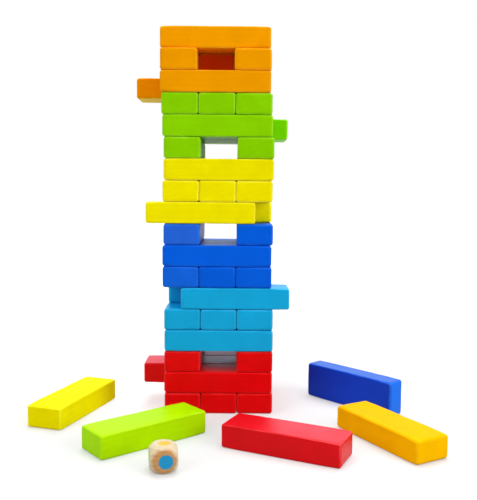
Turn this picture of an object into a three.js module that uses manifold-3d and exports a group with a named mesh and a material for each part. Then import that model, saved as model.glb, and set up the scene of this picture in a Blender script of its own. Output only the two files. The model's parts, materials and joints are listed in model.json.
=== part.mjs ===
// Tumbling tower: painted wooden blocks stacked crosswise in layers of three, in six colours.
// Some blocks are pushed part of the way out, five lie on the floor, and a wooden colour die goes
// with them. Millimetres, +Z up, the tower's front faces -Y. The origin is the middle of the base.
import * as THREE from "three";
import { RoundedBoxGeometry } from "three/addons/geometries/RoundedBoxGeometry.js";
import { mergeVertices } from "three/addons/utils/BufferGeometryUtils.js";
import Module from "manifold-3d";

// Block
const blockLength = 76.4;
const blockWidth = 25.4;
const blockHeight = 14.9;
const edgeRadius = 1.3;
const edgeSteps = 1; // facets on each side of an edge's 45 degree line

// Tower
const rowGap = 0.1; // air between two blocks that lie side by side
const layerGap = 0.1; // play between two layers, which lets a block slide
const rowPitch = blockWidth + rowGap;
const layerPitch = blockHeight + layerGap;
const towerHalf = Math.max(blockLength, 3 * blockWidth + 2 * rowGap) / 2;

// Colour die
const dieSize = 16;
const dieFlatRadius = 5.9; // the round flat that the rounding leaves on each face
const dieSides = 32;
const dieTurn = 11;

// Loose pieces, each measured from the tower's sides or from its neighbour to the piece's own outline
const yellowFromSide = 40.5;
const yellowBehindFront = 2.7;
const yellowTurn = 72;
const greenFromFront = 19.2;
const greenFromMiddle = 6.7;
const greenTurn = 39.3;
const redFromFront = 41;
const redFromMiddle = 3.1;
const redTurn = -25.5;
const blueFromSide = 29.8;
const blueBehindFront = 25.1;
const blueTurn = -47.1;
const orangeFromSide = 41.8;
const orangeFromBlue = 4.4;
const orangeTurn = -61;
const dieFromFront = 99.2;
const dieFromMiddle = 28.4;

// Layers from the floor up. A layer's blocks lie across (ends to the front) or along the front.
// shift and back move the whole layer right and away from the front. pushed says how far each block
// has been pushed along its own length, left to right or front to rear, and "out" that it is gone.
// nudged says how far each has slipped sideways, front to rear or left to right.
const layers = [
  { paint: "red", across: true, shift: 0, back: 0, pushed: [0, 0, 0] },
  { paint: "red", across: false, shift: -0.3, back: 0, pushed: [0, -17.6, 0] },
  { paint: "red", across: true, shift: -0.2, back: 0, pushed: [0, "out", 0] },
  { paint: "light_blue", across: false, shift: -0.1, back: 0, pushed: [0, 0, 0] },
  { paint: "light_blue", across: true, shift: -0.3, back: 0, pushed: [0, 0, 0] },
  { paint: "light_blue", across: false, shift: 0.2, back: 0, pushed: [11.1, 0, 0] },
  { paint: "dark_blue", across: true, shift: -1.5, back: 0, pushed: [0, 0, 0] },
  { paint: "dark_blue", across: false, shift: -1.7, back: 0, pushed: [0, 0, 0] },
  { paint: "dark_blue", across: true, shift: -0.9, back: 0, pushed: [0, "out", 0] },
  { paint: "yellow", across: false, shift: -0.7, back: 0, pushed: [-12.6, 0, "out"] },
  { paint: "yellow", across: true, shift: -1.5, back: 0, pushed: [0, 0, 0] },
  { paint: "yellow", across: false, shift: -0.8, back: 0, pushed: [0, 0, 0] },
  { paint: "green", across: true, shift: -0.7, back: 0, pushed: [0, "out", 0] },
  { paint: "green", across: false, shift: -1.7, back: 0, pushed: [0, 11.8, 0] },
  { paint: "green", across: true, shift: -2.3, back: 0, pushed: [0, 0, 0] },
  { paint: "orange", across: false, shift: -3.4, back: 0, pushed: [0, "out", -20.8], nudged: [0, 0, -15.5] },
  { paint: "orange", across: true, shift: -3.2, back: 0, pushed: [0, 20.5, 0] },
  { paint: "orange", across: false, shift: -3.6, back: 2.5, pushed: [0, 0, 0] },
];

const rowNamesAcross = ["left", "middle", "right"];
const rowNamesAlong = ["front", "middle", "rear"];

// Paints and wood
const paintRoughness = 0.35;
const woodRoughness = 0.6;
const paintColours = {
  red: 0xd7070b,
  light_blue: 0x1ca0d4,
  dark_blue: 0x075bda,
  yellow: 0xeade02,
  green: 0x85cf02,
  orange: 0xed9802,
};
const woodColour = 0xdcb077;

function satin(color, roughness) {
  return new THREE.MeshStandardMaterial({ color, roughness, metalness: 0 });
}

// A block lies flat along X with its middle at its own origin
function blockMesh(name, paint) {
  const geometry = new RoundedBoxGeometry(blockLength, blockWidth, blockHeight, edgeSteps, edgeRadius);
  const mesh = new THREE.Mesh(geometry, satin(paintColours[paint], paintRoughness));
  mesh.name = name;
  return mesh;
}

function layerGroup(layer, level) {
  const group = new THREE.Group();
  group.position.set(layer.shift, layer.back, (level - 1) * layerPitch + blockHeight / 2);
  const rowNames = layer.across ? rowNamesAcross : rowNamesAlong;
  layer.pushed.forEach((push, row) => {
    if (push === "out") {
      return;
    }
    const number = String(level).padStart(2, "0");
    const block = blockMesh(`layer_${number}_${layer.paint}_${rowNames[row]}`, layer.paint);
    const nudge = layer.nudged ? layer.nudged[row] : 0;
    const aside = (row - 1) * rowPitch + nudge;
    if (layer.across) {
      block.rotation.z = Math.PI / 2;
      block.position.set(aside, push, 0);
    } else {
      block.position.set(push, aside, 0);
    }
    group.add(block);
  });
  return group;
}

// How far a turned block of this width reaches from its middle along X and along Y
function reach(turn, width) {
  const angle = THREE.MathUtils.degToRad(turn);
  const cos = Math.abs(Math.cos(angle));
  const sin = Math.abs(Math.sin(angle));
  return {
    x: (blockLength * cos + width * sin) / 2,
    y: (blockLength * sin + width * cos) / 2,
  };
}

function looseBlock(paint, turn, x, y, onEdge = false) {
  const block = blockMesh(`loose_${paint}_block`, paint);
  block.rotation.set(onEdge ? Math.PI / 2 : 0, 0, THREE.MathUtils.degToRad(turn), "ZYX");
  block.position.set(x, y, (onEdge ? blockWidth : blockHeight) / 2);
  return block;
}

function looseBlocks() {
  const yellow = reach(yellowTurn, blockWidth);
  const green = reach(greenTurn, blockWidth);
  const red = reach(redTurn, blockWidth);
  const blue = reach(blueTurn, blockHeight); // stands on its narrow side
  const orange = reach(orangeTurn, blockWidth);
  const blueY = blueBehindFront - towerHalf;
  const orangeY = blueY - blue.y - orangeFromBlue - orange.y;
  return [
    looseBlock("yellow", yellowTurn, -(towerHalf + yellowFromSide + yellow.x), yellowBehindFront - towerHalf),
    looseBlock("green", greenTurn, -(greenFromMiddle + green.x), -(towerHalf + greenFromFront + green.y)),
    looseBlock("red", redTurn, redFromMiddle + red.x, -(towerHalf + redFromFront + red.y)),
    looseBlock("dark_blue", blueTurn, towerHalf + blueFromSide + blue.x, blueY, true),
    looseBlock("orange", orangeTurn, towerHalf + orangeFromSide + orange.x, orangeY),
  ];
}

const wasm = await Module();
wasm.setup();

function solidFrom(geometry) {
  geometry.deleteAttribute("normal");
  geometry.deleteAttribute("uv");
  const merged = mergeVertices(geometry);
  return new wasm.Manifold(new wasm.Mesh({
    numProp: 3,
    vertProperties: merged.attributes.position.array,
    triVerts: Uint32Array.from(merged.index.array),
  }));
}

function geometryFrom(solid) {
  const { vertProperties, triVerts } = solid.getMesh();
  const geometry = new THREE.BufferGeometry();
  geometry.setAttribute("position", new THREE.BufferAttribute(vertProperties, 3));
  geometry.setIndex(new THREE.BufferAttribute(triVerts, 1));
  geometry.computeVertexNormals();
  return geometry;
}

// A cube whose edges and corners are rounded off by one sphere, which leaves a round flat on each face
function colourDie() {
  const roundness = Math.hypot(dieSize / 2, dieFlatRadius);
  const cube = solidFrom(new THREE.BoxGeometry(dieSize, dieSize, dieSize));
  const ball = solidFrom(new THREE.SphereGeometry(roundness, dieSides, dieSides / 2));
  const die = new THREE.Mesh(geometryFrom(cube.intersect(ball)), satin(woodColour, woodRoughness));
  die.name = "colour_die";
  die.rotation.z = THREE.MathUtils.degToRad(dieTurn);
  die.position.set(-dieFromMiddle, -(towerHalf + dieFromFront), dieSize / 2);
  return die;
}

const tumblingTower = new THREE.Group();
layers.forEach((layer, index) => tumblingTower.add(layerGroup(layer, index + 1)));
tumblingTower.add(...looseBlocks(), colourDie());

export default tumblingTower;
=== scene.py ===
import json
import math
import random

import bmesh
import bpy
import numpy as np
from mathutils import Matrix, Vector, noise


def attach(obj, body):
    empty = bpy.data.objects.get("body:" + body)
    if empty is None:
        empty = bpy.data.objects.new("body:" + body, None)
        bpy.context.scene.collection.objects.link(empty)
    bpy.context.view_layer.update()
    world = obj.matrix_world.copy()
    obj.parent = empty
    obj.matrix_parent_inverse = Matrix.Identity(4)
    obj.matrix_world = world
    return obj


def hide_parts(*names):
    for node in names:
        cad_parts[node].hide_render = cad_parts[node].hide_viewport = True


# Tumbling tower of painted wooden blocks with a colour die.
# Metres, +Z up, the tower's front faces -Y.
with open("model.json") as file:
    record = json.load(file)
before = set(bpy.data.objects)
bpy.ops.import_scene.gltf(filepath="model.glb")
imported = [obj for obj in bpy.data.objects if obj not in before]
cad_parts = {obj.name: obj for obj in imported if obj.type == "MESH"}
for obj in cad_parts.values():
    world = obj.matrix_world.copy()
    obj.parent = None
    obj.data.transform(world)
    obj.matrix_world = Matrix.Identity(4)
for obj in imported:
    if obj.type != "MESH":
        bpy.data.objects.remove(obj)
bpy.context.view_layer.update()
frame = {"nodes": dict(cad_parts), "record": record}
mm = 0.001
print("frame loaded,", len(frame["nodes"]), "nodes")


# Camera, a little above the tower's middle and looking a little down
photoCamera = {
    "place": (11.53 * mm, -509.6 * mm, 156.1 * mm),
    "turnRight": 0.222,      # degrees
    "tiltDown": 4.752,
    "roll": 0.519,
    "focalPixels": 679.8,
    "longSidePixels": 500,
    "sensor": 36.0,          # millimetres
    "nearest": 0.01,         # nothing nearer or farther is drawn
    "farthest": 50,
}


def makeCamera(plan):
    data = bpy.data.cameras.new("photo_camera")
    data.sensor_width = plan["sensor"]
    data.lens = plan["focalPixels"] / plan["longSidePixels"] * plan["sensor"]
    data.clip_start = plan["nearest"]
    data.clip_end = plan["farthest"]
    camera = bpy.data.objects.new("photo_camera", data)
    tilt = Matrix.Rotation(math.radians(90 - plan["tiltDown"]), 4, "X")
    turn = Matrix.Rotation(math.radians(-plan["turnRight"]), 4, "Z")
    roll = Matrix.Rotation(math.radians(plan["roll"]), 4, "Z")
    camera.matrix_world = Matrix.Translation(plan["place"]) @ turn @ tilt @ roll
    bpy.context.scene.collection.objects.link(camera)
    bpy.context.scene.camera = camera


makeCamera(photoCamera)
print("camera placed")


# Where a piece lies, read from its CAD node
def flatDirections(node):
    # one direction for each pair of parallel flats
    squareOff = 0.01
    found = []
    for face in sorted(node.data.polygons, key=lambda f: f.area, reverse=True):
        if all(abs(face.normal.dot(axis)) < squareOff for axis in found):
            found.append(face.normal.copy())
        if len(found) == 3:
            break
    return found


def ownFrame(node):
    # X along the piece's length, Y along its width, Z through its thickness
    points = np.array([v.co for v in node.data.vertices])
    sized = []
    for axis in flatDirections(node):
        axis *= math.copysign(1, max(axis, key=abs))
        along = points @ np.array(axis)
        low, high = float(along.min()), float(along.max())
        sized.append((high - low, (low + high) / 2, axis))
    # longest first, and of equal ones, as on the die, the one nearest to X
    sized.sort(key=lambda s: (-round(s[0] / mm), -abs(s[2].x)))
    centre = sum((middle * axis for size, middle, axis in sized), Vector())
    x, y, z = (axis for size, middle, axis in sized)
    if x.cross(y).dot(z) < 0:
        y = -y
    matrix = Matrix((x, y, z)).transposed().to_4x4()
    matrix.translation = centre
    return matrix, [size / 2 for size, middle, axis in sized]


def addPiece(name, mesh, matrix, node, material):
    piece = bpy.data.objects.new(name, mesh)
    piece.matrix_world = matrix
    piece.data.materials.append(material)
    bpy.context.scene.collection.objects.link(piece)
    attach(piece, node)
    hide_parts(node)


# Shader node helpers
noiseSpread = (0.3, 0.7)           # nearly all of a noise texture's values lie between these
ringScale = 0.314                  # the wave texture's scale for rings one metre wide
pieceStep = (0.71, 0.13, 0.37)     # metres, times a piece's own random number


def newMaterial(name):
    material = bpy.data.materials.new(name)
    material.use_nodes = True
    tree = material.node_tree
    tree.nodes.clear()
    return material, tree


def addNode(tree, kind, sockets, **settings):
    node = tree.nodes.new(kind)
    for name, value in settings.items():
        setattr(node, name, value)
    for socket, value in sockets.items():
        if isinstance(value, bpy.types.NodeSocket):
            tree.links.new(value, node.inputs[socket])
        else:
            node.inputs[socket].default_value = value
    return node


def calculate(tree, operation, *values, clamp=False):
    sockets = dict(enumerate(values))
    return addNode(tree, "ShaderNodeMath", sockets, operation=operation, use_clamp=clamp).outputs[0]


def combine(tree, operation, *vectors, scale=None):
    sockets = dict(enumerate(vectors))
    if scale is not None:
        sockets["Scale"] = scale
    node = addNode(tree, "ShaderNodeVectorMath", sockets, operation=operation)
    return node.outputs["Value"] if operation in ("LENGTH", "DISTANCE") else node.outputs["Vector"]


def mapValue(tree, value, low, high, outLow=0.0, outHigh=1.0, smooth=False):
    sockets = {"Value": value, "From Min": low, "From Max": high, "To Min": outLow, "To Max": outHigh}
    kind = "SMOOTHSTEP" if smooth else "LINEAR"
    return addNode(tree, "ShaderNodeMapRange", sockets, interpolation_type=kind).outputs["Result"]


def mixColours(tree, share, first, second):
    # the mix node's sockets for colours are its inputs 6 and 7 and its output 2
    node = addNode(tree, "ShaderNodeMix", {0: share}, data_type="RGBA")
    for index, value in ((6, first), (7, second)):
        if isinstance(value, bpy.types.NodeSocket):
            tree.links.new(value, node.inputs[index])
        else:
            node.inputs[index].default_value = (*value, 1)
    return node.outputs[2]


def separate(tree, vector):
    return addNode(tree, "ShaderNodeSeparateXYZ", {"Vector": vector}).outputs


def noiseAt(tree, vector, size, detail, roughness=0.5):
    # size is the width of one soft spot
    sockets = {"Vector": vector, "Scale": 1 / size, "Detail": detail, "Roughness": roughness}
    return addNode(tree, "ShaderNodeTexNoise", sockets).outputs["Fac"]


def fromNoise(tree, value, low, high):
    # low where the noise is at its darkest, high where it is at its brightest
    return mapValue(tree, value, *noiseSpread, low, high)


def screenColour(red, green, blue):
    # a colour as it shows on a screen, 0 to 255, made linear by the usual screen curve
    shares = [part / 255 for part in (red, green, blue)]
    return tuple(s / 12.92 if s <= 0.04045 else ((s + 0.055) / 1.055) ** 2.4 for s in shares)


def ownCoordinates(tree):
    # the piece's own coordinates, moved by its own random step so that no two pieces match
    coordinates = addNode(tree, "ShaderNodeTexCoord", {})
    chance = addNode(tree, "ShaderNodeObjectInfo", {}).outputs["Random"]
    step = combine(tree, "SCALE", pieceStep, scale=chance)
    moved = combine(tree, "ADD", coordinates.outputs["Object"], step)
    return coordinates, moved, chance


def facing(tree, coordinates):
    # how squarely the surface faces along X, Y and Z of the piece, 0 to 1
    return separate(tree, combine(tree, "ABSOLUTE", coordinates.outputs["Normal"]))


def woodFigure(tree, place, figure):
    # growth rings round a far axis, and fibres, both drawn out along X
    drawnOut = combine(tree, "MULTIPLY", place, (figure["alongGrain"], 1, 1))
    centred = combine(tree, "ADD", drawnOut, (0, figure["pithAside"], figure["pithBelow"]))
    rings = addNode(tree, "ShaderNodeTexWave", {
        "Vector": centred,
        "Scale": ringScale / figure["ringWidth"],
        "Distortion": figure["ringWander"],
        "Detail": 2,
        "Detail Scale": 1.5,
    }, wave_type="RINGS", rings_direction="X", wave_profile="SAW").outputs["Fac"]
    fibres = noiseAt(tree, drawnOut, figure["fibreWidth"], detail=4, roughness=0.6)
    return rings, fibres


def finishSurface(tree, colour, roughness, shine, relief, finish):
    bump = addNode(tree, "ShaderNodeBump", {
        "Strength": finish["reliefStrength"],
        "Distance": finish["reliefDepth"],
        "Height": relief,
    })
    shader = addNode(tree, "ShaderNodeBsdfPrincipled", {
        "Base Color": colour,
        "Roughness": roughness,
        "Specular IOR Level": shine,
        "Normal": bump.outputs["Normal"],
    })
    addNode(tree, "ShaderNodeOutputMaterial", {"Surface": shader.outputs["BSDF"]})


# Paint: six satin colours sprayed over smooth wood, the grain just showing through
paints = {
    "paint_red": {"colour": (230, 4, 8), "rubbedAndHighlit": (240, 50, 52), "shine": 0.06},
    "paint_light_blue": {"colour": (12, 168, 224), "rubbedAndHighlit": (70, 192, 236), "shine": 0.09},
    "paint_dark_blue": {"colour": (0, 94, 227), "rubbedAndHighlit": (45, 125, 242), "shine": 0.05},
    "paint_yellow": {"colour": (244, 231, 0), "rubbedAndHighlit": (250, 242, 80), "shine": 0.005},
    "paint_green": {"colour": (135, 208, 0), "rubbedAndHighlit": (182, 230, 60), "shine": 0.02},
    "paint_orange": {"colour": (241, 155, 0), "rubbedAndHighlit": (252, 190, 55), "shine": 0.005},
}
# Blocks whose paint differs: painted light and shade on the loose blocks and on single faces of some tower
# blocks, a painted highlight on the loose red and orange edges, a painted reflection on two left blocks, a
# few tones of their own, and their own shine
blockTonesAndPaintedLight = {
    # painted light: the loose blocks' sides, ends and the dark blue one's top are painted lighter or darker
    # for how the lamps and floor light each face
    "loose_yellow_block": {"colour": (250, 240, 0), "end": (244, 230, 0)},
    "loose_green_block": {"colour": (179, 232, 0), "end": (172, 233, 0)},
    # painted highlight: the loose red and orange blocks' edge colour stands for the highlight along their
    # edges
    "loose_red_block": {"colour": (220, 3, 14), "end": (226, 2, 10), "rubbedAndHighlit": (250, 84, 90),
                        "shine": 0.12},
    "loose_dark_blue_block": {"colour": (14, 64, 206), "end": (4, 113, 244), "shine": 0.1,
                              "face": {"axis": 1, "side": 1, "colour": (17, 84, 186)}},
    "loose_orange_block": {"colour": (255, 183, 0), "end": (255, 190, 0), "rubbedAndHighlit": (255, 196, 20)},
    "layer_02_red_middle": {"shine": 0.12},
    # painted light: its top is painted paler, as if more light reached it
    "layer_05_light_blue_left": {"face": {"axis": 2, "side": 1, "colour": (20, 192, 242)}},
    # painted reflection: the left blocks of layers 7 and 9 are painted paler, for a soft reflection from
    # the left
    "layer_07_dark_blue_left": {"colour": (16, 98, 223)},
    "layer_09_dark_blue_left": {"colour": (36, 100, 219)},
    # painted light: painted lighter against the shade that the layer above casts on it
    "layer_10_yellow_middle": {"colour": (255, 246, 12)},
    "layer_12_yellow_front": {"colour": (236, 224, 0)},
    "layer_14_green_middle": {"colour": (122, 216, 0)},
    # painted light: its underside is painted paler and creamier, as if lit more brightly
    "layer_16_orange_rear": {"colour": (250, 146, 0),
                             "face": {"axis": 2, "side": -1, "colour": (255, 203, 40)}},
    # painted shade: its front end, deep in its recess, is painted redder and darker for the shade there
    "layer_17_orange_middle": {"face": {"axis": 0, "side": -1, "colour": (230, 78, 8)}},
}
paintFinish = {
    "alongGrain": 0.05,                # the grain is drawn out twenty times
    "pithAside": 9 * mm,
    "pithBelow": 31 * mm,
    "ringWidth": 4.2 * mm,
    "ringWander": 2.5,
    "fibreWidth": 0.5 * mm,
    "patchSize": 14 * mm,              # patches of thicker and thinner paint
    "peelSize": 0.9 * mm,              # the sprayed paint's fine orange peel
    "speckSpacing": 5 * mm,            # specks of dust caught in the paint
    "speckSize": 0.05,                 # share of the spacing
    "speckCore": 0.4,                  # share of a speck that stands full height
    "speckless": 0.55,                 # share of the places that have none
    "edgeFacing": (0.99, 0.76),        # from a flat face to nearly the middle of an edge
    "endFacing": (0.8, 0.95),          # from where the end's tone begins to where it is full
    "patchShade": (0.95, 1.04),        # shades are times the paint's own brightness
    "grainShade": (0.983, 1.008),
    "fibreShade": (0.982, 1.015),
    "endShade": (1.0, 0.97),           # on the long sides and on the ends
    "blockShade": (0.97, 1.025),       # one step for the whole block
    "speckShade": (1.0, 0.86),
    "rubbedAndHighlitPatches": (0.42, 0.62),     # the edges are rubbed thinner in some patches; on the loose red and orange blocks they carry a painted highlight
    "rubbedAndHighlitShare": (0.15, 0.6),
    "roughness": 0.36,
    "patchRoughness": (-0.04, 0.05),   # added to the roughness
    "fibreRoughness": (-0.02, 0.03),
    "edgePolish": 0.05,                # taken off it
    "reliefStrength": 0.35,
    "reliefDepth": 0.05 * mm,
    "ringRelief": (0.35, 0.8),         # on the long sides and on the ends
    "fibreRelief": 0.5,
    "peelRelief": 0.35,
}


def dustSpecks(tree, place, finish):
    # each speck has a cell of its own, and most cells are empty
    cells = addNode(tree, "ShaderNodeTexVoronoi", {"Vector": place, "Scale": 1 / finish["speckSpacing"]})
    cellColour = {"Color": cells.outputs["Color"]}
    cellChance = addNode(tree, "ShaderNodeSeparateColor", cellColour).outputs[0]
    filled = calculate(tree, "GREATER_THAN", cellChance, finish["speckless"])
    size = finish["speckSize"]
    specks = mapValue(tree, cells.outputs["Distance"], size, size * finish["speckCore"])
    return calculate(tree, "MULTIPLY", specks, filled, clamp=True)


def paintMarks(tree, coordinates, place, finish):
    # what colour, roughness and relief are made from, each 0 to 1
    rings, fibres = woodFigure(tree, place, finish)
    towards = facing(tree, coordinates)
    squarest = calculate(tree, "MAXIMUM", towards[0], towards[1])
    squarest = calculate(tree, "MAXIMUM", squarest, towards[2])
    return {
        "rings": rings,
        "fibres": fibres,
        "patches": noiseAt(tree, place, finish["patchSize"], detail=3),
        "peel": noiseAt(tree, place, finish["peelSize"], detail=1),
        "specks": dustSpecks(tree, place, finish),
        "onEdge": mapValue(tree, squarest, *finish["edgeFacing"], smooth=True),
        "onEnd": mapValue(tree, towards[0], *finish["endFacing"], smooth=True),
    }


def paintShade(tree, marks, chance, finish):
    shade = fromNoise(tree, marks["patches"], *finish["patchShade"])
    for other in (
        mapValue(tree, marks["rings"], 0, 1, *finish["grainShade"]),
        fromNoise(tree, marks["fibres"], *finish["fibreShade"]),
        mapValue(tree, marks["onEnd"], 0, 1, *finish["endShade"]),
        mapValue(tree, chance, 0, 1, *finish["blockShade"]),
        mapValue(tree, marks["specks"], 0, 1, *finish["speckShade"]),
    ):
        shade = calculate(tree, "MULTIPLY", shade, other)
    return shade


def paintColour(tree, marks, coordinates, paint, finish):
    endColour = screenColour(*paint.get("end", paint["colour"]))
    colour = mixColours(tree, marks["onEnd"], screenColour(*paint["colour"]), endColour)
    # painted light: one face of a block can take its own colour, lit or shaded otherwise than the rest
    if "face" in paint:
        face = paint["face"]
        way = separate(tree, coordinates.outputs["Normal"])[face["axis"]]
        limits = [limit * face["side"] for limit in finish["endFacing"]]
        onPaintedLightFace = mapValue(tree, way, *limits, smooth=True)
        colour = mixColours(tree, onPaintedLightFace, colour, screenColour(*face["colour"]))
    # paint rubbed thinner along the edges, and on the loose red and orange blocks a painted highlight there
    rubbedAndHighlit = mapValue(tree, marks["patches"], *finish["rubbedAndHighlitPatches"], *finish["rubbedAndHighlitShare"])
    rubbedAndHighlit = calculate(tree, "MULTIPLY", marks["onEdge"], rubbedAndHighlit)
    return mixColours(tree, rubbedAndHighlit, colour, screenColour(*paint["rubbedAndHighlit"]))


def paintRoughness(tree, marks, finish):
    limits = [finish["roughness"] + change for change in finish["patchRoughness"]]
    roughness = fromNoise(tree, marks["patches"], *limits)
    roughness = calculate(tree, "ADD", roughness,
                          fromNoise(tree, marks["fibres"], *finish["fibreRoughness"]))
    polish = calculate(tree, "MULTIPLY", marks["onEdge"], finish["edgePolish"])
    return calculate(tree, "SUBTRACT", roughness, polish)


def paintRelief(tree, marks, finish):
    ringShare = mapValue(tree, marks["onEnd"], 0, 1, *finish["ringRelief"])
    relief = calculate(tree, "MULTIPLY", marks["rings"], ringShare)
    fibreRelief = calculate(tree, "MULTIPLY", marks["fibres"], finish["fibreRelief"])
    peelRelief = calculate(tree, "MULTIPLY", marks["peel"], finish["peelRelief"])
    for other in (fibreRelief, peelRelief, marks["specks"]):
        relief = calculate(tree, "ADD", relief, other)
    return relief


def paintedWood(name, paint, finish):
    material, tree = newMaterial(name)
    coordinates, place, chance = ownCoordinates(tree)
    marks = paintMarks(tree, coordinates, place, finish)
    shade = paintShade(tree, marks, chance, finish)
    colour = paintColour(tree, marks, coordinates, paint, finish)
    finishSurface(tree,
                  colour=combine(tree, "SCALE", colour, scale=shade),
                  roughness=paintRoughness(tree, marks, finish),
                  shine=paint["shine"],
                  relief=paintRelief(tree, marks, finish),
                  finish=finish)
    return material


# Blocks: each is milled, rounded along its edges and sanded, so none is quite regular
blockShape = {
    "towerRadius": (1.6 * mm, 2.1 * mm),   # smallest and largest edge radius
    "looseRadius": {
        "paint_yellow": (1.35 * mm, 1.45 * mm),
        "paint_green": (1.4 * mm, 1.5 * mm),
        "paint_red": (1.5 * mm, 1.7 * mm),
        "paint_dark_blue": (2.0 * mm, 2.2 * mm),
        "paint_orange": (2.1 * mm, 2.3 * mm),
    },
    "arcSteps": 4,               # on each side of an edge's middle line
    "supportBand": 0.45 * mm,    # keeps the flats flat beside the rounding
    "cell": 3 * mm,
    "radiusWander": 0.16,        # share by which the radius wanders along an edge
    "wanderSize": 11 * mm,
    "crisper": 0.42,             # share by which an edge is less rounded away from the block's ends
    "crisperFrom": 12 * mm,
    "paintFilm": 0.045 * mm,     # on the tower blocks' long sides, so no light shows between them
    "sandingDepth": 0.03 * mm,
    "sandingSize": 13 * mm,
    "noiseStart": 50,            # each block's noise starts at a place of its own, this far off at most
    "dents": 4,
    "dentDepth": (0.08 * mm, 0.22 * mm),
    "dentSize": (1.6 * mm, 3.2 * mm),
}


def gridLines(half, radius, shape):
    # close together over the rounding, even over the flat, which has two cells at least
    flat = half - radius
    steps = shape["arcSteps"]
    arc = [flat + radius * math.tan(math.pi / 4 * step / steps) for step in range(steps + 1)]
    inner = flat - shape["supportBand"]
    cells = max(2, round(2 * inner / shape["cell"]))
    return [-line for line in reversed(arc)] + list(np.linspace(-inner, inner, cells + 1)) + arc


def gridBox(halves, lines):
    # six grids that share their border points
    box = bmesh.new()
    made = {}

    def point(place):
        # one point for all that lie within a ten-thousandth of a millimetre
        key = tuple(round(part / mm, 4) for part in place)
        if key not in made:
            made[key] = box.verts.new(place)
        return made[key]

    for axis in range(3):
        across, up = (axis + 1) % 3, (axis + 2) % 3
        for side in (-1, 1):
            for i in range(len(lines[across]) - 1):
                for j in range(len(lines[up]) - 1):
                    corners = []
                    for right, above in ((0, 0), (1, 0), (1, 1), (0, 1)):
                        place = [0, 0, 0]
                        place[axis] = side * halves[axis]
                        place[across] = lines[across][i + right]
                        place[up] = lines[up][j + above]
                        corners.append(point(place))
                    box.faces.new(corners if side > 0 else corners[::-1]).smooth = True
    return box


def meshFrom(name, shape):
    mesh = bpy.data.meshes.new(name)
    shape.to_mesh(mesh)
    shape.free()
    return mesh


def evenNoise(place):
    # smooth noise from 0 to 1
    return 0.5 + 0.5 * noise.noise(place)


def dentsOn(halves, shape, chance):
    # small knocks along the long edges and at the corners
    dents = []
    for _ in range(shape["dents"]):
        along = halves[0] * chance.choice((-1, 1)) * chance.choice((1, chance.random()))
        place = Vector((along, halves[1] * chance.choice((-1, 1)), halves[2] * chance.choice((-1, 1))))
        dents.append((place, chance.uniform(*shape["dentDepth"]), chance.uniform(*shape["dentSize"])))
    return dents


def makeBlockMesh(name, halves, radius, shape, chance):
    box = gridBox(halves, [gridLines(half, radius, shape) for half in halves])
    start = shape["noiseStart"]
    shift = Vector([chance.uniform(-start, start) for _ in range(3)])
    dents = dentsOn(halves, shape, chance)
    for vert in box.verts:
        place = vert.co.copy()
        wander = noise.noise(place / shape["wanderSize"] + shift)
        inwards = min(1, (halves[0] - abs(place.x)) / shape["crisperFrom"])
        crisper = 1 - shape["crisper"] * inwards * inwards * (3 - 2 * inwards)
        own = radius * crisper * (1 + shape["radiusWander"] * wander)
        core = Vector([max(own - half, min(half - own, part)) for part, half in zip(place, halves)])
        out = (place - core).normalized()
        depth = shape["sandingDepth"] * evenNoise(place / shape["sandingSize"] - shift)
        for centre, deep, size in dents:
            depth += deep * math.exp(-((place - centre).length / size) ** 2)
        vert.co = core + out * (own - depth)
    return meshFrom(name, box)


slots = {part["node"]: part["material_slot"] for part in frame["record"]["subparts"]}
mixed = {slot: paintedWood("satin_" + slot, paint, paintFinish) for slot, paint in paints.items()}
for name, blockChanges in blockTonesAndPaintedLight.items():
    mixed[name] = paintedWood("satin_" + name, {**paints[slots[name]], **blockChanges}, paintFinish)
print("paints mixed:", len(mixed))

blockNodes = [name for name in sorted(slots) if slots[name] in paints]
for number, nodeName in enumerate(blockNodes):
    chance = random.Random(number)
    matrix, halves = ownFrame(frame["nodes"][nodeName])
    slot = slots[nodeName]
    loose = nodeName.startswith("loose")
    radiusRange = blockShape["looseRadius"][slot] if loose else blockShape["towerRadius"]
    radius = chance.uniform(*radiusRange)
    halves[1] += 0 if loose else blockShape["paintFilm"]
    mesh = makeBlockMesh("painted_" + nodeName, halves, radius, blockShape, chance)
    addPiece("painted_" + nodeName, mesh, matrix, nodeName, mixed.get(nodeName, mixed[slot]))
print("blocks made:", len(blockNodes))


# Colour die: a wooden cube rolled round in a drum, with a painted spot on each side. Its grain runs
# from front to back, so these two sides show the browner end grain, with painted shade on the front one.
die = {
    "node": "colour_die",
    "cell": 0.5 * mm,
    "flatRadius": 5.9 * mm,
    "rimSoftness": 0.35 * mm,
    "wear": 0.06 * mm,
    "wearSize": 5 * mm,
    "wood": (222, 205, 172),
    "darkWood": (208, 184, 146),
    "endWoodAndShade": (202, 150, 94),
    "darkEndWoodAndShade": (180, 128, 76),
    "alongGrain": 0.06,
    "pithAside": 3 * mm,
    "pithBelow": 14 * mm,
    "ringWidth": 2.6 * mm,
    "ringWander": 2.0,
    "fibreWidth": 0.35 * mm,
    "streakRings": (0.1, 0.95),    # from the pale to the dark part of a ring
    "streakShare": 0.6,            # how much of the dark wood's colour a streak has
    "fibreShade": (0.94, 1.05),
    "endFacing": (0.61, 0.84),     # from where the end grain's tone and its painted shade begin to where they are full
    "endRagged": 0.05,
    "endRaggedSize": 3 * mm,
    "bareRoughness": (0.5, 0.64),
    "shine": 0.2,
    "reliefStrength": 0.5,
    "reliefDepth": 0.06 * mm,
    "ringRelief": 0.4,
    "fibreRelief": 0.8,
    "sideFrom": 6 * mm,            # a side's spot begins this far from the die's middle
    "spotEdge": 0.15 * mm,
    "spotRagged": 0.18 * mm,
    "spotRaggedSize": 1.3 * mm,
    "spotRoughness": 0.38,
    "spotGrain": 0.4,              # share of the wood's relief that shows through a spot
    "spotRelief": 0.9,
}
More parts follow.
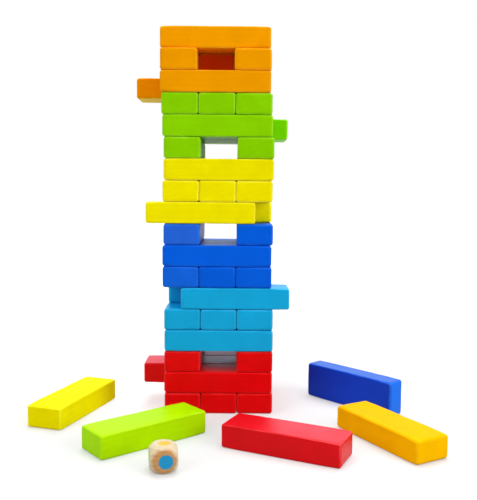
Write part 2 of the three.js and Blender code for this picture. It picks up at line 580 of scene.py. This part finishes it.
# side of the die, the spot's colour and radius, and how far it sits off the middle
dieSpots = [
    {"axis": 1, "side": -1, "colour": (24, 145, 196), "radius": 4.1 * mm, "off": (0.9 * mm, 0, -0.25 * mm)},
    {"axis": 2, "side": 1, "colour": (220, 182, 22), "radius": 3.4 * mm, "off": (0.3 * mm, -1.0 * mm, 0)},
    {"axis": 0, "side": -1, "colour": (135, 208, 10), "radius": 3.9 * mm, "off": (0, 0.3 * mm, 0.2 * mm)},
    {"axis": 0, "side": 1, "colour": (222, 18, 22), "radius": 4.0 * mm, "off": (0, -0.2 * mm, 0.3 * mm)},
    {"axis": 1, "side": 1, "colour": (240, 155, 10), "radius": 3.8 * mm, "off": (-0.3 * mm, 0, 0.2 * mm)},
    {"axis": 2, "side": -1, "colour": (12, 92, 222), "radius": 3.9 * mm, "off": (0.2 * mm, 0.3 * mm, 0)},
]


def makeDieMesh(plan, halves):
    count = round(2 * halves[0] / plan["cell"])
    box = gridBox(halves, [list(np.linspace(-half, half, count + 1)) for half in halves])
    roundness = math.hypot(halves[0], plan["flatRadius"])
    soft = plan["rimSoftness"]
    for vert in box.verts:
        place = vert.co.copy()
        reach = place.length
        # smooth minimum of the cube's surface and the ball's
        blend = max(0, min(1, 0.5 + (roundness - reach) / (2 * soft)))
        kept = roundness + (reach - roundness) * blend - soft * blend * (1 - blend)
        kept -= plan["wear"] * evenNoise(place / plan["wearSize"])
        vert.co = place * (kept / reach)
    return meshFrom("wooden_" + plan["node"], box)


def spotMask(tree, place, spot, plan):
    # 1 inside the spot on its own side of the die, with a slightly uneven rim
    sideways = Vector((1, 1, 1))
    sideways[spot["axis"]] = 0
    flatPlace = combine(tree, "MULTIPLY", place, tuple(sideways))
    reach = combine(tree, "DISTANCE", flatPlace, spot["off"])
    ragged = noiseAt(tree, place, plan["spotRaggedSize"], detail=3)
    ragged = fromNoise(tree, ragged, -plan["spotRagged"], plan["spotRagged"])
    reach = calculate(tree, "ADD", reach, ragged)
    edge = plan["spotEdge"]
    inside = mapValue(tree, reach, spot["radius"] + edge, spot["radius"] - edge, smooth=True)
    height = calculate(tree, "MULTIPLY", separate(tree, place)[spot["axis"]], spot["side"])
    onSide = calculate(tree, "GREATER_THAN", height, plan["sideFrom"])
    return calculate(tree, "MULTIPLY", inside, onSide)


def bareColour(tree, coordinates, place, rings, fibres, plan):
    ragged = noiseAt(tree, place, plan["endRaggedSize"], detail=2)
    ragged = fromNoise(tree, ragged, -plan["endRagged"], plan["endRagged"])
    endwards = calculate(tree, "ADD", facing(tree, coordinates)[1], ragged)
    onEnd = mapValue(tree, endwards, *plan["endFacing"], smooth=True)
    streaks = mapValue(tree, rings, *plan["streakRings"], 0, plan["streakShare"])
    side = mixColours(tree, streaks, screenColour(*plan["wood"]), screenColour(*plan["darkWood"]))
    # the end grain's browner tone, which on the die's front side is also painted shade
    end = mixColours(tree, streaks, screenColour(*plan["endWoodAndShade"]), screenColour(*plan["darkEndWoodAndShade"]))
    colour = mixColours(tree, onEnd, side, end)
    return combine(tree, "SCALE", colour, scale=fromNoise(tree, fibres, *plan["fibreShade"]))


def bareRelief(tree, painted, rings, fibres, plan):
    ringRelief = calculate(tree, "MULTIPLY", rings, plan["ringRelief"])
    fibreRelief = calculate(tree, "MULTIPLY", fibres, plan["fibreRelief"])
    relief = calculate(tree, "ADD", ringRelief, fibreRelief)
    relief = calculate(tree, "MULTIPLY", relief, mapValue(tree, painted, 0, 1, 1.0, plan["spotGrain"]))
    return calculate(tree, "ADD", relief, calculate(tree, "MULTIPLY", painted, plan["spotRelief"]))


def spottedWood(name, plan, spots):
    material, tree = newMaterial(name)
    coordinates = addNode(tree, "ShaderNodeTexCoord", {})
    place = coordinates.outputs["Object"]
    # turned so that the figure's own X runs from front to back
    quarterTurn = {"Vector": place, "Axis": (0, 0, 1), "Angle": math.pi / 2}
    turned = addNode(tree, "ShaderNodeVectorRotate", quarterTurn).outputs["Vector"]
    rings, fibres = woodFigure(tree, turned, plan)
    colour = bareColour(tree, coordinates, place, rings, fibres, plan)
    painted = 0.0
    for spot in spots:
        mask = spotMask(tree, place, spot, plan)
        colour = mixColours(tree, mask, colour, screenColour(*spot["colour"]))
        painted = calculate(tree, "MAXIMUM", painted, mask)
    # the mix node's sockets for plain numbers are its inputs 2 and 3 and its output 0
    bareRoughness = fromNoise(tree, fibres, *plan["bareRoughness"])
    bareToPainted = {0: painted, 2: bareRoughness, 3: plan["spotRoughness"]}
    finishSurface(tree,
                  colour=colour,
                  roughness=addNode(tree, "ShaderNodeMix", bareToPainted).outputs[0],
                  shine=plan["shine"],
                  relief=bareRelief(tree, painted, rings, fibres, plan),
                  finish=plan)
    return material


dieMatrix, dieHalves = ownFrame(frame["nodes"][die["node"]])
addPiece("wooden_" + die["node"], makeDieMesh(die, dieHalves), dieMatrix, die["node"],
         spottedWood("bare_die_wood", die, dieSpots))
print("die made")


# Studio: a white floor that runs into a white surround, with broad lamps above and at both sides
# and a weak one in front
studio = {
    "floorHalf": 20.0,
    "floorCells": 8,
    "floorColour": (0.52, 0.52, 0.52),
    "floorShade": (0.99, 1.01),
    "floorShadeSize": 0.4,
    "nearGlow": 0.32,        # seen by the camera and in reflections only
    "farGlow": 1.0,
    "nearEdge": 0.25,        # where the near glow begins to give way to the far one
    "farEdge": 0.9,
    "footPaintedLight": 0.33,        # painted light: the floor glows paler at the left of the tower's foot, hiding the shadow there
    "footPlace": (-0.06, 0.02, 0),
    "footReach": 0.1,
    "surroundSeen": 1.0,     # white
    "surroundLight": 0.32,
    "frontSheen": 0.6,       # the surround as reflections show it: in front, behind and high behind
    "backSheen": 0.66,
    "highSheen": 2.1,
    "highTint": (0.82, 1.05, 1.35),
    "backFrom": (-0.4, 0.4),     # where a direction turns from the front to the back
    "highFrom": (0.1, 0.3),      # and from low to high
}
lamps = [
    {"name": "top_lamp", "place": (0.06, 0.26, 1.15), "aim": (0, 0, 0.1), "size": 0.9, "watts": 13.6},
    {"name": "front_lamp", "place": (0.1, -1.0, 1.15), "aim": (0, 0, 0.13), "size": 0.8, "watts": 2.8},
    {"name": "right_lamp", "place": (1.0, -0.62, 0.62), "aim": (0.02, 0, 0.1), "size": 0.9, "watts": 8.3},
    {"name": "left_lamp", "place": (-1.0, -0.8, 0.9), "aim": (0, 0, 0.12), "size": 1.0, "watts": 7.2},
]


def seenDirectly(tree):
    # 1 for what the camera sees, in itself or in a reflection
    path = addNode(tree, "ShaderNodeLightPath", {})
    seen = calculate(tree, "MAXIMUM", path.outputs["Is Camera Ray"], path.outputs["Is Glossy Ray"])
    return calculate(tree, "MAXIMUM", seen, path.outputs["Is Transmission Ray"])


def floorGlow(tree, place, plan):
    reach = combine(tree, "LENGTH", place)
    level = mapValue(tree, reach, plan["nearEdge"], plan["farEdge"],
                     plan["nearGlow"], plan["farGlow"], smooth=True)
    # painted light: extra glow at the left of the tower's foot hides the shadow there
    footReach = combine(tree, "DISTANCE", place, plan["footPlace"])
    footPaintedLight = mapValue(tree, footReach, plan["footReach"], 0, 0, plan["footPaintedLight"], smooth=True)
    level = calculate(tree, "ADD", level, footPaintedLight)
    return calculate(tree, "MULTIPLY", seenDirectly(tree), level)


def makeFloor(plan):
    material, tree = newMaterial("white_floor")
    place = addNode(tree, "ShaderNodeTexCoord", {}).outputs["Object"]
    soft = noiseAt(tree, place, plan["floorShadeSize"], detail=1)
    shade = fromNoise(tree, soft, *plan["floorShade"])
    colour = combine(tree, "SCALE", plan["floorColour"], scale=shade)
    matt = addNode(tree, "ShaderNodeBsdfDiffuse", {"Color": colour})
    glow = addNode(tree, "ShaderNodeEmission", {"Strength": floorGlow(tree, place, plan)})
    both = addNode(tree, "ShaderNodeAddShader", {0: matt.outputs[0], 1: glow.outputs[0]})
    addNode(tree, "ShaderNodeOutputMaterial", {"Surface": both.outputs[0]})
    sheet = bmesh.new()
    bmesh.ops.create_grid(sheet, x_segments=plan["floorCells"], y_segments=plan["floorCells"],
                          size=plan["floorHalf"])
    mesh = meshFrom("studio_floor", sheet)
    mesh.materials.append(material)
    floor = bpy.data.objects.new("studio_floor", mesh)
    bpy.context.scene.collection.objects.link(floor)


def makeSurround(plan):
    world = bpy.data.worlds.new("white_surround")
    world.use_nodes = True
    tree = world.node_tree
    tree.nodes.clear()
    strength = mapValue(tree, seenDirectly(tree), 0, 1, plan["surroundLight"], plan["surroundSeen"])
    # reflections show a brighter, cooler sheet high behind the tower and a dimmer room in front
    way = separate(tree, addNode(tree, "ShaderNodeTexCoord", {}).outputs["Generated"])
    behind = mapValue(tree, way["Y"], *plan["backFrom"], smooth=True)
    above = mapValue(tree, way["Z"], *plan["highFrom"], smooth=True)
    high = calculate(tree, "MULTIPLY", behind, above)
    sheen = mapValue(tree, behind, 0, 1, plan["frontSheen"], plan["backSheen"])
    highSheen = calculate(tree, "MULTIPLY", high, plan["highSheen"] - plan["backSheen"])
    sheen = calculate(tree, "ADD", sheen, highSheen)
    tint = mixColours(tree, high, (1, 1, 1), plan["highTint"])
    glossy = addNode(tree, "ShaderNodeLightPath", {}).outputs["Is Glossy Ray"]
    white = addNode(tree, "ShaderNodeBackground", {
        "Color": mixColours(tree, glossy, (1, 1, 1), combine(tree, "SCALE", tint, scale=sheen)),
        "Strength": strength})
    addNode(tree, "ShaderNodeOutputWorld", {"Surface": white.outputs[0]})
    bpy.context.scene.world = world


def makeLamp(plan):
    data = bpy.data.lights.new(plan["name"], "AREA")
    data.size = plan["size"]
    data.energy = plan["watts"]
    lamp = bpy.data.objects.new(plan["name"], data)
    lamp.location = plan["place"]
    away = Vector(plan["place"]) - Vector(plan["aim"])
    lamp.rotation_euler = away.to_track_quat("Z", "Y").to_euler()
    bpy.context.scene.collection.objects.link(lamp)


makeFloor(studio)
makeSurround(studio)
for lampPlan in lamps:
    makeLamp(lampPlan)
bpy.context.scene.view_settings.view_transform = "Standard"
print("studio lit")
